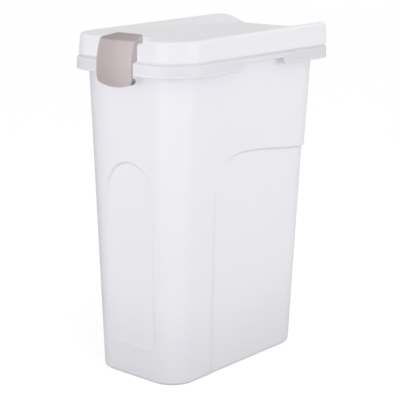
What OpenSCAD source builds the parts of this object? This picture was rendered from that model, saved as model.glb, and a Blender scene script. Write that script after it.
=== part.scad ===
// Tall pet food bin: a translucent moulded tub, a hinged saddle-topped lid and a front clip.
// Frame: +X to the right, -Y to the front where the clip is, +Z up.
// The origin is on the floor, under the middle of the outer box.

/* [Tub] */
// Width of the tub at its base
base_w = 196.6; // [170:0.1:240]
// Length of the tub at its base, front to rear
base_l = 364; // [340:1:420]
// Corner radius of the two front corners, measured at the base
front_r = 47; // [38:1:60]
// Corner radius of the two rear corners, measured at the base
rear_r = 62; // [45:1:70]
// Draft of the two long walls, in degrees
side_draft = 1.77; // [1:0.01:3]
// Draft of the front wall, in degrees
front_draft = 1; // [0.5:0.01:2]
// Draft of the rear wall, in degrees
rear_draft = 3.3; // [1.5:0.01:4]
// Height of the flange that carries the collar, above the floor
flange_z = 561.5; // [500:0.5:640]
// Height of the plain rim that stands above the flange
rim_h = 10.5; // [8:0.5:12]
// Thickness of the tub's walls
wall = 2; // [1.6:0.1:2.4]
// Thickness of the tub's bottom
floor_t = 2.8; // [2:0.1:4]
// Height of the foot ring under the bottom
foot_h = 2.5; // [1.5:0.1:4]
// Width of the foot ring
foot_w = 12; // [8:0.5:18]
// Radius of the bottom edge
base_round = 5; // [3:0.5:8]

/* [Moulded recesses] */
// Width of the arched recess in the front wall
arch_w = 104; // [80:1:110]
// Height at which the front arch springs from its upright edges
arch_z = 335; // [250:1:380]
// Height of the lower edge of the front recess
arch_foot_z = 61; // [40:1:90]
// Corner radius at the lower end of the front recess
arch_foot_r = 14; // [8:1:20]
// Distance from the tub's middle to the front edge of the side recesses
shoulder_y = 86; // [75:1:95]
// Height of the highest point of the side recesses
shoulder_z = 394; // [340:1:430]
// Length over which the front end of a side recess is rounded
shoulder_l = 73; // [60:1:80]
// Height over which the front end of a side recess is rounded
shoulder_h = 55; // [40:1:65]
// Drop of the side recess's upper edge from its highest point to the rear wall
shoulder_fall = 16; // [8:1:24]
// Depth of the recesses at their upper edge
recess_d = 4.3; // [3:0.1:5.5]
// Depth of the recesses at the base
recess_base_d = 1.2; // [0.6:0.1:2]
// Width of the rounded step along a recess's edge
step_w = 6; // [4:0.5:7]

/* [Collar] */
// Reach of the collar beyond the tub's long walls
collar_side = 17.6; // [14:0.1:22]
// Reach of the collar beyond the front wall
collar_front = 25.1; // [22:0.1:28]
// Reach of the collar beyond the rear wall
collar_rear = 17.7; // [14:0.1:22]
// Corner radius of the collar at the front
collar_front_r = 66; // [58:1:72]
// Corner radius of the collar at the rear
collar_rear_r = 56; // [50:1:66]
// Thickness of the collar's flange and skirt
collar_t = 2; // [1.6:0.1:2.6]
// Height of the collar's skirt, flange included
skirt_h = 20.3; // [17:0.1:26]
// Reach of the bead along the skirt's lower edge
bead = 1.3; // [0.8:0.1:2]
// Radius of the collar's upper edge
collar_round = 3; // [2:0.1:4]
// Height of the raised inner band of the flange, which the lid's edge drops over
band_h = 5.5; // [4.5:0.1:6.5]
// How far the raised band stands inside the lid's edge
band_in = 3.6; // [3.3:0.1:5]
// Length of the hand-hold cut in each long skirt
grip_l = 109; // [95:1:120]
// Height of the hand-hold cut
grip_h = 12.3; // [8:0.1:14]

/* [Lid] */
// Gap between the flange and the lid's lower edge
lid_gap = 3.9; // [3:0.1:6]
// How far the lid's edge stands back from the collar at the sides and the rear
lid_back = 1; // [0.5:0.1:3]
// How far the lid's edge stands back from the collar at the front
lid_front_back = 12.4; // [11:0.1:14]
// Corner radius of the lid at the front
lid_front_r = 57; // [50:1:64]
// Corner radius of the lid at the rear
lid_rear_r = 52; // [46:1:60]
// Height of the lid at its front edge
lid_h = 34.6; // [32:0.1:40]
// Thickness of the lid
lid_t = 2; // [1.6:0.1:2.4]
// Draft of the lid's edge, in millimetres over its height
lid_taper = 2.6; // [1:0.1:4]
// Radius of the lid's upper edge
lid_round = 5.5; // [4:0.1:7]
// Rise of the two side rails from the front to the rear
rail_rise = 6; // [2:0.1:9]
// Fall of the lid's sunken middle from the front to the rear
saddle_fall = 12; // [6:0.1:14]
// Width of the bank between a side rail and the sunken middle
bank_w = 46; // [30:1:60]
// Depth of the scoop that takes the clip's tongue
scoop_d = 7; // [6:0.1:8]
// Width of the bank round the scoop's edge
scoop_edge = 8; // [6:0.5:10]

/* [Plug and seal] */
// Thickness of the plug ring that hangs inside the tub's mouth
plug_t = 2; // [1.6:0.1:2.6]
// How far the plug ring reaches below the tub's rim
plug_drop = 6; // [5:0.1:7]
// Space between the plug ring and the tub's mouth, which the seal fills
seal_space = 3; // [2.6:0.1:3.6]
// Height of the seal
seal_h = 3; // [2:0.1:3.2]
// Gap left between the seal and the tub's mouth
seal_gap = 0.7; // [0.6:0.05:0.9]
// Reach of the land under the seal
land_reach = 1.4; // [1:0.1:1.8]

/* [Clip] */
// Width of the clip
clip_w = 80; // [70:1:90]
// Height of the clip's lower tip
clip_tip_drop = 41.2; // [39:0.1:44]
// Height of the clip's pin below the flange
clip_pin_drop = 31; // [30:0.1:32]
// Distance of the clip's pin behind the collar's front face
clip_pin_back = 3.4; // [3:0.1:4]
// Greatest reach of the clip's face in front of the collar
clip_reach = 5.3; // [5:0.1:7]
// Radius of the face seen from the side
clip_bow_r = 135; // [110:1:170]
// Radius of the face seen from above
clip_plan_r = 400; // [300:5:500]
// Thickness of the clip's face and tongue
clip_t = 2.6; // [2:0.1:3]
// Thickness of the clip's cheeks
cheek_t = 5; // [4:0.1:6]
// How far each end of the clip's pin lies inside its cheek
clip_pin_inset = 2.6; // [2:0.1:3]
// How far the tongue reaches behind the lid's front edge
tongue_l = 26.5; // [20:0.5:28]
// Width of the tongue at its rear end
tongue_w = 65; // [55:1:70]
// Rise of the tongue's rear edge above the lid's front edge
tongue_rise = 6.3; // [4:0.1:8]
// Running gap between the clip and what it closes over
clip_gap = 0.5; // [0.3:0.1:0.8]

/* [Hinges and pins] */
// Distance of each hinge from the middle
hinge_x = 60; // [50:1:64]
// Width of a lid knuckle
knuckle_w = 24; // [18:1:26]
// Outer radius of a lid knuckle
knuckle_r = 6; // [5.4:0.1:6.4]
// Distance of the hinge axis behind the collar
hinge_back = 8.4; // [8:0.1:9]
// Height of the hinge axis above the flange
hinge_up = 9.5; // [9:0.1:10.5]
// Thickness of a hinge ear
ear_t = 4; // [3:0.1:5]
// Side gap between a knuckle or cheek and its ear
ear_gap = 0.4; // [0.3:0.05:0.6]
// Height of the corner of a hinge ear that stops the open lid, above the axis
stop_up = 8.3; // [8:0.1:8.6]
// Diameter of the hinge pins
pin_d = 5; // [4:0.1:5.4]
// Diameter of the clip's pin
clip_pin_d = 4; // [3:0.1:4.4]
// Diameter of the hinge pins' heads
head_d = 8; // [7:0.1:9]
// Thickness of the hinge pins' heads
head_t = 1.6; // [1:0.1:2.4]
// Radial clearance of a pin in the ears that hold it
hold_fit = 0.02; // [0.01:0.01:0.05]
// Radial clearance of a pin in the part that turns on it
turn_fit = 0.06; // [0.04:0.01:0.1]

/* [Hidden] */
$fn = 48;

// An outline is [half width, front y, rear y, front radius, rear radius].
rim_z = flange_z + rim_h;
lid_z = flange_z + lid_gap;
lid_top_z = lid_z + lid_h;

function grow(o, d) = [o[0] + d, o[1] - d, o[2] + d, max(o[3] + d, 1.2), max(o[4] + d, 1.2)];

function tub_outline(z) = [
    base_w / 2 + z * tan(side_draft),
    -base_l / 2 - z * tan(front_draft),
    base_l / 2 + z * tan(rear_draft),
    front_r,
    rear_r
];

mouth = tub_outline(flange_z);
collar = [
    mouth[0] + collar_side,
    mouth[1] - collar_front,
    mouth[2] + collar_rear,
    collar_front_r,
    collar_rear_r
];
lid_edge = [
    collar[0] - lid_back,
    collar[1] + lid_front_back,
    collar[2] - lid_back,
    lid_front_r,
    lid_rear_r
];

// The clip's axis and the lid's axis, in the y-z plane.
clip_axis = [collar[1] + clip_pin_back, flange_z - clip_pin_drop];
lid_axis = [collar[2] + hinge_back, flange_z + hinge_up];
ear_r = knuckle_r + 0.5;
face_y = collar[1] - clip_reach;
tip_z = flange_z - clip_tip_drop;

// All of the part lies between these, so that the origin can sit under the middle.
rear_reach = lid_axis[0] + ear_r;
mid_y = (face_y + rear_reach) / 2;

module placed() {
    translate([0, -mid_y, 0]) children();
}

// ---- Points along an outline ----

// A place on a wall panel is its distance along the wall, from the panel's own zero.
// Each function gives [point, outward normal]; past the flat it runs round the corner.
function turn(c, r, a) = [[c[0] + r * cos(a), c[1] + r * sin(a)], [cos(a), sin(a)]];
function bend(s, flat, r) = (abs(s) - flat) / r * 180 / PI * sign(s);

function front_place(o, s) =
    abs(s) <= o[0] - o[3]
    ? [[s, o[1]], [0, -1]]
    : turn([sign(s) * (o[0] - o[3]), o[1] + o[3]], o[3], -90 + bend(s, o[0] - o[3], o[3]));

function rear_place(o, s) =
    abs(s) <= o[0] - o[4]
    ? [[s, o[2]], [0, 1]]
    : turn([sign(s) * (o[0] - o[4]), o[2] - o[4]], o[4], 90 - bend(s, o[0] - o[4], o[4]));

function side_place(o, s) =
    s < o[1] + o[3]
    ? turn([o[0] - o[3], o[1] + o[3]], o[3], -(o[1] + o[3] - s) / o[3] * 180 / PI)
    : s > o[2] - o[4]
    ? turn([o[0] - o[4], o[2] - o[4]], o[4], (s - o[2] + o[4]) / o[4] * 180 / PI)
    : [[o[0], s], [1, 0]];

// Half the length of a corner arc, as every panel ends at the middle of its corners.
function half_arc(r) = r * PI / 4;
function front_end(o) = o[0] - o[3] + half_arc(o[3]);
function rear_end(o) = o[0] - o[4] + half_arc(o[4]);
function side_start(o) = o[1] + o[3] - half_arc(o[3]);
function side_end(o) = o[2] - o[4] + half_arc(o[4]);

function mix(a, b, t) = a + (b - a) * t;
function clamp(t) = min(max(t, 0), 1);
function ease(t) = let(c = clamp(t)) c * c * (3 - 2 * c);

// ---- Tub: a loft of rings, each with the same columns ----

// A column is [panel, place, fraction]: the place is fixed along the panel, and the
// fraction leads from there to the corner's middle: panel 0 front, 1 side, 2 rear.
half_arch = arch_w / 2;
steps = [-1, -1 / 3, 1 / 3, 1] * step_w / 2;
grip_mid = (mouth[1] + mouth[2]) / 2;
grip_slope = 4;
grip_front = grip_mid - grip_l / 2;
grip_rear = grip_mid + grip_l / 2;

front_columns = concat(
    [for (f = [0, 0.2, 0.39, 0.57, 0.72, 0.85]) [0, f * half_arch, 0]],
    [for (e = steps) [0, half_arch + e, 0]],
    [for (f = [0.2, 0.4, 0.6, 0.8, 1]) [0, half_arch + step_w / 2, f]]
);
side_columns = concat(
    [for (f = [-0.9, -0.8, -0.7, -0.6, -0.5, -0.25]) [1, -shoulder_y - step_w / 2, f]],
    [for (i = [3:-1:0]) [1, -shoulder_y - steps[i], 0]],
    [for (f = [0.1, 0.22, 0.36]) [1, -shoulder_y + f * shoulder_l, 0]],
    [[1, grip_front - grip_slope, 0], [1, grip_front, 0]],
    [for (f = [0.8, 1]) [1, -shoulder_y + f * shoulder_l, 0]],
    [[1, 25, 0], [1, grip_rear, 0], [1, grip_rear + grip_slope, 0]],
    [for (f = [0.4, 0.53, 0.61, 0.69, 0.77, 0.85, 0.93, 1]) [1, grip_rear + grip_slope, f]]
);
rear_columns = [for (f = [0.9, 0.8, 0.7, 0.6, 0.5, 0.38]) [2, 0, f]];

// The right half runs from the front's middle to the rear's middle; the left mirrors it.
right_columns = concat(front_columns, side_columns, rear_columns, [[2, 0, 0]]);

function column_place(o, c) =
    c[0] == 0 ? front_place(o, mix(c[1], front_end(o), c[2]))
    : c[0] == 1 ? side_place(o, c[2] < 0 ? mix(c[1], side_start(o), -c[2]) : mix(c[1], side_end(o), c[2]))
    : rear_place(o, mix(c[1], rear_end(o), c[2]));

function column_s(o, c) =
    c[0] == 0 ? mix(c[1], front_end(o), c[2])
    : c[0] == 1 ? (c[2] < 0 ? mix(c[1], side_start(o), -c[2]) : mix(c[1], side_end(o), c[2]))
    : mix(c[1], rear_end(o), c[2]);

// Upper edge of a recess moved outward by e, at place s of a panel.
peak_y = -shoulder_y + shoulder_l;
spring_z = shoulder_z - shoulder_h;
fall_l = base_l / 2 - peak_y;

function side_top(s) = shoulder_z - shoulder_fall * ease((s - peak_y) / fall_l);

// Rows pass below the springing where a column lies outside the edge moved by e.
fan = 3;
function fanned(spring, out) = spring - fan * (1 + out * 3 / step_w);

function front_edge_z(s, e) =
    s < half_arch + e - 0.01
    ? arch_z + sqrt(pow(half_arch + e, 2) - s * s)
    : fanned(arch_z, min(s - half_arch, step_w / 2) - e);

function side_edge_z(s, e) =
    s > peak_y ? side_top(s) + e
    : peak_y - s < shoulder_l + e - 0.01
    ? spring_z + (shoulder_h + e) * sqrt(1 - pow((peak_y - s) / (shoulder_l + e), 2))
    : fanned(spring_z, min(peak_y - s - shoulder_l, step_w / 2) - e);

function recess_edge_z(c, e) =
    let(o = tub_outline(spring_z), s = column_s(o, c))
    c[0] == 0 ? front_edge_z(s, e) : c[0] == 1 ? side_edge_z(s, e) : side_top(base_l) + e;

// How far a place lies outside the recess's edge; negative inside.
function front_out(s, z) =
    let(inner = half_arch - arch_foot_r, low = arch_foot_z + arch_foot_r)
    z > arch_z ? norm([s, z - arch_z]) - half_arch
    : z < low && s > inner ? norm([s - inner, low - z]) - arch_foot_r
    : max(s - half_arch, arch_foot_z - z);

function side_out(s, z) =
    let(y = peak_y - s, mean_r = (shoulder_l + shoulder_h) / 2)
    s > peak_y ? z - side_top(s)
    : z > spring_z ? (norm([y / shoulder_l, (z - spring_z) / shoulder_h]) - 1) * mean_r
    : y - shoulder_l;

function recess_out(panel, s, z) =
    panel == 0 ? front_out(s, z) : panel == 1 ? side_out(s, z) : z - side_top(base_l);

function recess_depth(panel, s, z) =
    mix(recess_base_d, recess_d, clamp(z / shoulder_z))
    * ease(0.5 - recess_out(panel, s, z) / (step_w * 0.88));

// A point of the tub's wall: on the drafted outline, sunk by the recess and by inset.
function wall_point(c, z, inset) =
    let(
        o = tub_outline(z),
        p = column_place(o, c),
        d = inset + recess_depth(c[0], column_s(o, c), z)
    )
    [p[0][0] - p[1][0] * d, p[0][1] - p[1][1] * d, z];

// A ring is a list of points of the right half, mirrored for the left half.
function mirrored(ring) = concat(
    ring,
    [for (i = [len(ring) - 2:-1:1]) [-ring[i][0], ring[i][1], ring[i][2]]]
);

function wall_ring(z, inset) = mirrored([for (c = right_columns) wall_point(c, z, inset)]);

function edge_ring(e, inset) =
    mirrored([for (c = right_columns) wall_point(c, recess_edge_z(c, e), inset)]);

function outline_ring(o, z) =
    mirrored([for (c = right_columns) let(p = column_place(o, c)[0]) [p[0], p[1], z]]);

// Lower edge of the skirt, lifted along the hand-hold in the long walls.
function grip_lift(c) =
    c[0] != 1 || abs(c[2]) > 0 ? 0
    : c[1] >= grip_front && c[1] <= grip_rear ? grip_h : 0;

function skirt_ring(o, z) = mirrored([
    for (c = right_columns)
        let(p = column_place(o, c)[0])
        [p[0], p[1], z + grip_lift(c)]
]);

skirt_z = flange_z - skirt_h;
foot_step = [arch_foot_z - step_w / 2, arch_foot_z - step_w / 6, arch_foot_z + step_w / 6,
             arch_foot_z + step_w / 2, arch_foot_z + arch_foot_r * 0.6, arch_foot_z + arch_foot_r];
below_arch = arch_z - 5 * fan;

function tub_base() = tub_outline(0);

tub_rings = concat(
    // underside, foot ring and rounded bottom edge
    [
        outline_ring(grow(tub_base(), -base_round - foot_w - foot_h), foot_h),
        outline_ring(grow(tub_base(), -base_round - foot_w), 0),
        outline_ring(grow(tub_base(), -base_round), 0),
        wall_ring(base_round * 0.13, base_round * 0.5),
        wall_ring(base_round * 0.5, base_round * 0.13),
        wall_ring(base_round, 0)
    ],
    // outer wall up to the flange
    [for (z = foot_step) wall_ring(z, 0)],
    [wall_ring(below_arch, 0)],
    [for (e = steps) edge_ring(e, 0)],
    [wall_ring(flange_z + band_h - collar_t, 0)],
    // raised band, flange, skirt and bead
    [
        outline_ring(grow(lid_edge, -band_in - collar_t), flange_z + band_h - collar_t),
        outline_ring(grow(lid_edge, -band_in - collar_t), flange_z - collar_t),
        outline_ring(grow(collar, -collar_t - 0.6), flange_z - collar_t),
        skirt_ring(grow(collar, -collar_t), skirt_z),
        skirt_ring(grow(collar, bead), skirt_z),
        skirt_ring(grow(collar, bead), skirt_z + bead),
        skirt_ring(collar, skirt_z + bead * 2),
        outline_ring(grow(collar, -0.3), flange_z - collar_round),
        outline_ring(grow(collar, -0.3 - collar_round * 0.29), flange_z - collar_round * 0.29),
        outline_ring(grow(collar, -0.3 - collar_round), flange_z),
        outline_ring(grow(lid_edge, -band_in), flange_z),
        outline_ring(grow(lid_edge, -band_in), flange_z + band_h - 0.5),
        outline_ring(grow(lid_edge, -band_in - 0.5), flange_z + band_h)
    ],
    // rim above the band
    [
        wall_ring(flange_z + band_h, 0),
        wall_ring(rim_z - 0.5, 0),
        wall_ring(rim_z, 0.5),
        wall_ring(rim_z, wall - 0.5),
        wall_ring(rim_z - 0.5, wall)
    ],
    // inner wall back down to the bottom
    [for (i = [3:-1:0]) edge_ring(steps[i], wall)],
    [wall_ring(below_arch, wall)],
    [for (i = [5, 3, 0]) wall_ring(foot_step[i], wall)],
    [
        wall_ring(foot_h + floor_t + base_round, wall),
        wall_ring(foot_h + floor_t + base_round * 0.3, wall + base_round * 0.3),
        outline_ring(grow(tub_base(), -wall - base_round), foot_h + floor_t)
    ]
);

// Loft through rings of equal length. Both ends are closed with strips between mirrored
// columns; ahead of the front column and behind the rear one they are fanned.
module loft(rings, front, rear) {
    n = len(rings[0]);
    m = len(rings);
    half = n / 2;
    last = (m - 1) * n;
    sides = [
        for (i = [0:m - 2], j = [0:n - 1])
            let(a = i * n + j, b = i * n + (j + 1) % n)
            each [[a, b, b + n], [a, b + n, a + n]]
    ];
    fans = concat(
        [[n - front, front, 0], [rear, n - rear, half]],
        [for (j = [0:front - 2]) each [[j, front, j + 1], [(n - j) % n, n - j - 1, n - front]]],
        [for (j = [rear + 1:half - 1]) each [[rear, j + 1, j], [n - rear, n - j, n - j - 1]]]
    );
    strips = [
        for (j = [front:rear - 1])
            each [[n - j, j + 1, j], [n - j, n - j - 1, j + 1]]
    ];
    first_cap = concat(fans, strips);
    last_cap = [for (f = first_cap) [f[0] + last, f[2] + last, f[1] + last]];
    polyhedron(points = [for (r = rings) each r], faces = [
        for (f = concat(sides, first_cap, last_cap)) [f[2], f[1], f[0]]
    ]);
}

// Plate standing in the y-z plane, from an outline of [y, z] points, at x0 and t thick.
module side_plate(points, x0, t) {
    translate([x0, 0, 0])
        rotate([90, 0, 90])
            linear_extrude(height = t)
                polygon(points);
}

module cross_pin(axis, x0, length, d) {
    translate([x0, axis[0], axis[1]])
        rotate([0, 90, 0])
            cylinder(h = length, d = d);
}

function arc(c, r, a0, a1, n) = [
    for (i = [0:n])
        let(a = mix(a0, a1, i / n))
        [c[0] + r * cos(a), c[1] + r * sin(a)]
];

// Two ears carry each hinge pin; their rear corner stops the lid when it is open.
module hinge_ears() {
    stop = [lid_axis[0] + ear_r, lid_axis[1] + stop_up];
    outline = [
        [collar[2] - collar_t + 0.5, skirt_z + 5],
        [collar[2] - collar_t + 0.5, flange_z - 0.5],
        [lid_axis[0] - ear_r, flange_z + 2],
        [lid_axis[0] - ear_r, lid_axis[1] + 2],
        [lid_axis[0] - 2, stop[1] - 2],
        [stop[0] - 3, stop[1]],
        stop,
        [stop[0], lid_axis[1] - ear_r],
        [collar[2] + 5, skirt_z + 7]
    ];
    half = knuckle_w / 2 + ear_gap;
    difference() {
        for (side = [-1, 1], x0 = [side * hinge_x - half - ear_t, side * hinge_x + half])
            side_plate(outline, x0, ear_t);
        hinge_pin_bores(pin_d + hold_fit * 2);
    }
}

// Two gussets under the collar carry the clip's pin; their lower edge stops the clip.
clip_ear_r = 4;
gusset_rise = 44;
clip_ear_x = clip_w / 2 - cheek_t - ear_gap - ear_t;

module clip_ears() {
    back_y = tub_outline(clip_axis[1])[1] + wall / 2;
    band_y = lid_edge[1] + band_in + collar_t / 2;
    reach = back_y - clip_axis[0];
    foot = [clip_ear_r * sin(gusset_rise), -clip_ear_r * cos(gusset_rise)];
    outline = concat(
        arc(clip_axis, clip_ear_r, 180, 270 + gusset_rise, 10),
        [
            [back_y, clip_axis[1] + foot[1] + (reach - foot[0]) * tan(gusset_rise)],
            [back_y, flange_z + band_h - collar_t / 2],
            [band_y, flange_z + band_h - collar_t / 2],
            [band_y, flange_z - collar_t / 2],
            [collar[1] + collar_t * 1.5, flange_z - collar_t / 2],
            [collar[1] + collar_t / 2, flange_z - collar_t * 2],
            [collar[1] + collar_t / 2, skirt_z + 1]
        ]
    );
    difference() {
        for (x0 = [-clip_ear_x - ear_t, clip_ear_x])
            side_plate(outline, x0, ear_t);
        cross_pin(clip_axis, -clip_w / 2, clip_w, clip_pin_d + hold_fit * 2);
    }
}

module hinge_pin_bores(d) {
    half = knuckle_w / 2 + ear_gap + ear_t;
    for (side = [-1, 1])
        cross_pin(lid_axis, side * hinge_x - half - 1, half * 2 + 2, d);
}

module tub() {
    color([0.93, 0.94, 0.96, 0.6])
        placed()
            union() {
                loft(tub_rings, len(front_columns) - 1, len(front_columns) + len(side_columns) - 1);
                hinge_ears();
                clip_ears();
            }
}

// ---- Lid ----

// Lid columns are [panel, fraction of the flat] or [panel + 4, angle of the corner].
scoop_half = clip_w / 2 + scoop_edge;
lid_flat = lid_edge[0] - lid_edge[3];

lid_front_row = [
    for (x = [0, 0.3, 0.55, 0.75, 0.875, 1, 1.125, 1.25] * (scoop_half - scoop_edge / 2))
        [0, x / lid_flat]
];
lid_rear_row = [for (f = [1, 0.66, 0.33, 0]) [2, f]];
lid_columns = concat(
    lid_front_row,
    [for (a = [-90:10:-10]) [4, a]],
    [for (f = [0:1 / 6:0.99]) [1, f]],
    [for (a = [0:10:80]) [5, a]],
    lid_rear_row
);

function lid_place(o, c) =
    c[0] == 0 ? [c[1] * (o[0] - o[3]), o[1]]
    : c[0] == 4 ? turn([o[0] - o[3], o[1] + o[3]], o[3], c[1])[0]
    : c[0] == 1 ? [o[0], mix(o[1] + o[3], o[2] - o[4], c[1])]
    : c[0] == 5 ? turn([o[0] - o[4], o[2] - o[4]], o[4], c[1])[0]
    : [c[1] * (o[0] - o[4]), o[2]];

// Height of the lid's upper surface: side rails, sunken middle and the clip's scoop.
lid_l = lid_edge[2] - lid_edge[1];
rail_in = lid_taper + lid_round;
scoop_l = tongue_l + 4;

function along(y) = clamp((y - lid_edge[1]) / lid_l);

function scoop(x, y) =
    scoop_d
    * ease((scoop_half - abs(x)) / scoop_edge + 0.5)
    * ease((lid_edge[1] + scoop_l + scoop_edge - y) / scoop_edge);

function lid_surface(x, y) =
    let(
        t = along(y),
        rail = rail_rise * t,
        middle = -saddle_fall * t * t,
        across = ease((lid_edge[0] - rail_in - abs(x)) / bank_w)
    )
    lid_top_z + mix(rail, middle, across) - scoop(x, y);

function lid_ring(inset, drop) = mirrored([
    for (c = lid_columns)
        let(p = lid_place(grow(lid_edge, -inset), c))
        [p[0], p[1], lid_surface(p[0], p[1]) - drop]
]);

function lid_level_ring(o, z) = mirrored([for (c = lid_columns) let(p = lid_place(o, c)) [p[0], p[1], z]]);

top_insets = [14, 20, 26, 32, 38, 46, 54, 68, 86, 106, lid_edge[0] - 4];
under_insets = [lid_edge[0] - 4, 90, 64, 50, 40, 32];

plug_z = rim_z - plug_drop;
plug_out = grow(tub_outline(plug_z), -wall - seal_space);
plug_in = grow(plug_out, -plug_t);
land_out = grow(plug_out, land_reach);
seal_z = plug_z + 2;

function plug_ring(o) = mirrored([
    for (c = lid_columns)
        let(p = lid_place(o, c))
        [p[0], p[1], lid_surface(p[0], p[1]) - lid_t]
]);

lid_rings = concat(
    // sunken middle outward to the plug ring, on the underside
    [for (d = under_insets) lid_ring(d, lid_t)],
    // plug ring with the land that the seal rests on
    [
        plug_ring(plug_in),
        lid_level_ring(plug_in, plug_z),
        lid_level_ring(land_out, plug_z),
        lid_level_ring(land_out, seal_z),
        lid_level_ring(plug_out, seal_z),
        plug_ring(plug_out)
    ],
    // inside and outside of the lid's edge, then its rounded upper edge
    [
        lid_ring(lid_taper + lid_t + lid_round, lid_t),
        lid_ring(lid_taper + lid_t + lid_round * 0.15, lid_t + lid_round * 0.55),
        lid_level_ring(grow(lid_edge, -lid_t), lid_z),
        lid_level_ring(grow(lid_edge, -0.6), lid_z),
        lid_level_ring(lid_edge, lid_z + 0.6),
        lid_ring(lid_taper, lid_round),
        lid_ring(lid_taper + lid_round * 0.13, lid_round * 0.5),
        lid_ring(lid_taper + lid_round * 0.5, lid_round * 0.13),
        lid_ring(lid_taper + lid_round, 0)
    ],
    [for (d = top_insets) lid_ring(d, 0)]
);

// Knuckle and arm, one behind each side of the lid's rear edge.
module lid_knuckles() {
    wall_y = lid_edge[2] - lid_t / 2;
    outline = concat(
        arc(lid_axis, knuckle_r, -90, 90, 16),
        [
            [wall_y - lid_taper * 0.4, lid_axis[1] + knuckle_r],
            [wall_y, lid_z + 1],
            [lid_axis[0] - 4, lid_z + 1]
        ]
    );
    difference() {
        for (side = [-1, 1])
            side_plate(outline, side * hinge_x - knuckle_w / 2, knuckle_w);
        hinge_pin_bores(pin_d + turn_fit * 2);
    }
}

module lid() {
    color("white")
        placed()
            union() {
                loft(lid_rings, len(lid_front_row) + 4, len(lid_columns) - len(lid_rear_row) - 5);
                lid_knuckles();
            }
}

// Flat outline with four round corners, for the seal.
module outline_shape(o) {
    flat_x = o[0] - o[3];
    rear_x = o[0] - o[4];
    union() {
        for (side = [-1, 1]) {
            translate([side * flat_x, o[1] + o[3]]) circle(r = o[3], $fn = 96);
            translate([side * rear_x, o[2] - o[4]]) circle(r = o[4], $fn = 96);
        }
        translate([-flat_x, o[1]]) square([flat_x * 2, o[3] * 2]);
        translate([-rear_x, o[2] - o[4] * 2]) square([rear_x * 2, o[4] * 2]);
        translate([-o[0], o[1] + o[3]]) square([o[0] * 2, o[2] - o[1] - o[3] - o[4]]);
    }
}

module lid_seal() {
    color([0.82, 0.82, 0.84])
        placed()
            translate([0, 0, seal_z])
                linear_extrude(height = seal_h)
                    difference() {
                        outline_shape(grow(plug_out, seal_space - seal_gap));
                        outline_shape(grow(plug_out, 0.05));
                    }
}

// ---- Clip ----

tongue_y = lid_edge[1] + tongue_l;
tongue_z = lid_top_z + tongue_rise;
tongue_under = lid_top_z - scoop_d + clip_gap;
brow = [lid_edge[1] - 5.5, lid_top_z + 0.3];
bow_z = tip_z + 27.5;
bow_c = [face_y + clip_bow_r, bow_z];

// Side outline of the face, from the tip up to the brow, set back by d.
function face_arc(d) =
    let(
        r = clip_bow_r - d,
        low = asin((bow_z - tip_z + 1) / r),
        high = asin((brow[1] - 4 - bow_z) / r)
    )
    arc(bow_c, r, 180 + low, 180 - high, 12);

// Everything behind the bowed face and under the tongue's top, turned about a far upright axis.
module bowed_body(d) {
    far_y = face_y + clip_plan_r;
    top_back = tongue_y + 20;
    slope = (tongue_z - brow[1]) / (tongue_y - brow[0]);
    outline = concat(
        [[top_back, tip_z - 2]],
        face_arc(d),
        [
            [brow[0] - 1.2 + d, brow[1] - 1.6 - d],
            [brow[0] + 1.4 + d, brow[1] - d],
            [top_back, brow[1] + slope * (top_back - brow[0]) - d]
        ]
    );
    translate([0, far_y, 0])
        rotate([0, 0, -90])
            rotate([0, 0, -30])
                rotate_extrude(angle = 60, $fn = 180)
                    polygon([for (p = outline) [far_y - p[0], p[1]]]);
}

// Side outline of the whole clip, cut clear of the lid and the collar.
module clip_side(x0, t) {
    lid_y = lid_edge[1] - clip_gap;
    collar_y = collar[1] - bead - clip_gap;
    under_collar = skirt_z - clip_gap;
    side_plate(concat(
        [
            [face_y - 5, tip_z - 6],
            [face_y - 5, tongue_z + 5],
            [tongue_y - 3, tongue_z + 5],
            [tongue_y, tongue_z - 2],
            [tongue_y - 0.5, tongue_under + 1],
            [tongue_y - 1.5, tongue_under],
            [lid_edge[1] + 4, tongue_under],
            [lid_y, tongue_under - 4],
            [lid_y, lid_z],
            [collar_y, flange_z],
            [collar_y, under_collar],
            [clip_axis[0] - 2, under_collar - 1.8],
            [clip_axis[0] + 3.2, under_collar - 4.5]
        ],
        arc(clip_axis, 5.2, 30, -70, 8)
    ), x0, t);
}

// Outline seen from the front: crowned at the top, a shallow curve at the bottom.
module clip_front() {
    half = clip_w / 2;
    r = 10;
    belly_r = 110;
    belly_c = [0, tip_z + belly_r];
    corner_z = tip_z + belly_r - sqrt(pow(belly_r - r, 2) - pow(half - r, 2));
    a = asin((half - r) / (belly_r - r));
    outline = concat(
        arc([half - r, corner_z], r, -90 + a, 0, 6),
        arc([half - 8, tongue_z - 8], 8, 0, 90, 6),
        arc([-half + 8, tongue_z - 8], 8, 90, 180, 6),
        arc([-half + r, corner_z], r, 180, 270 - a, 6),
        arc(belly_c, belly_r, 270 - a, 270 + a, 10)
    );
    translate([0, tongue_y + 10, 0])
        rotate([90, 0, 0])
            linear_extrude(height = tongue_y + 20 - face_y)
                polygon(outline);
}

// Outline seen from above: the tongue narrows to its rounded rear end.
module clip_plan() {
    half = clip_w / 2;
    rear = tongue_w / 2;
    r = 9;
    outline = concat(
        [[-half - 1, face_y - 5], [half + 1, face_y - 5], [half + 1, lid_edge[1] - 1]],
        arc([rear - r, tongue_y - r], r, 15, 90, 6),
        arc([-rear + r, tongue_y - r], r, 90, 165, 6),
        [[-half - 1, lid_edge[1] - 1]]
    );
    translate([0, 0, tip_z - 5])
        linear_extrude(height = tongue_z - tip_z + 10)
            polygon(outline);
}

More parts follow.
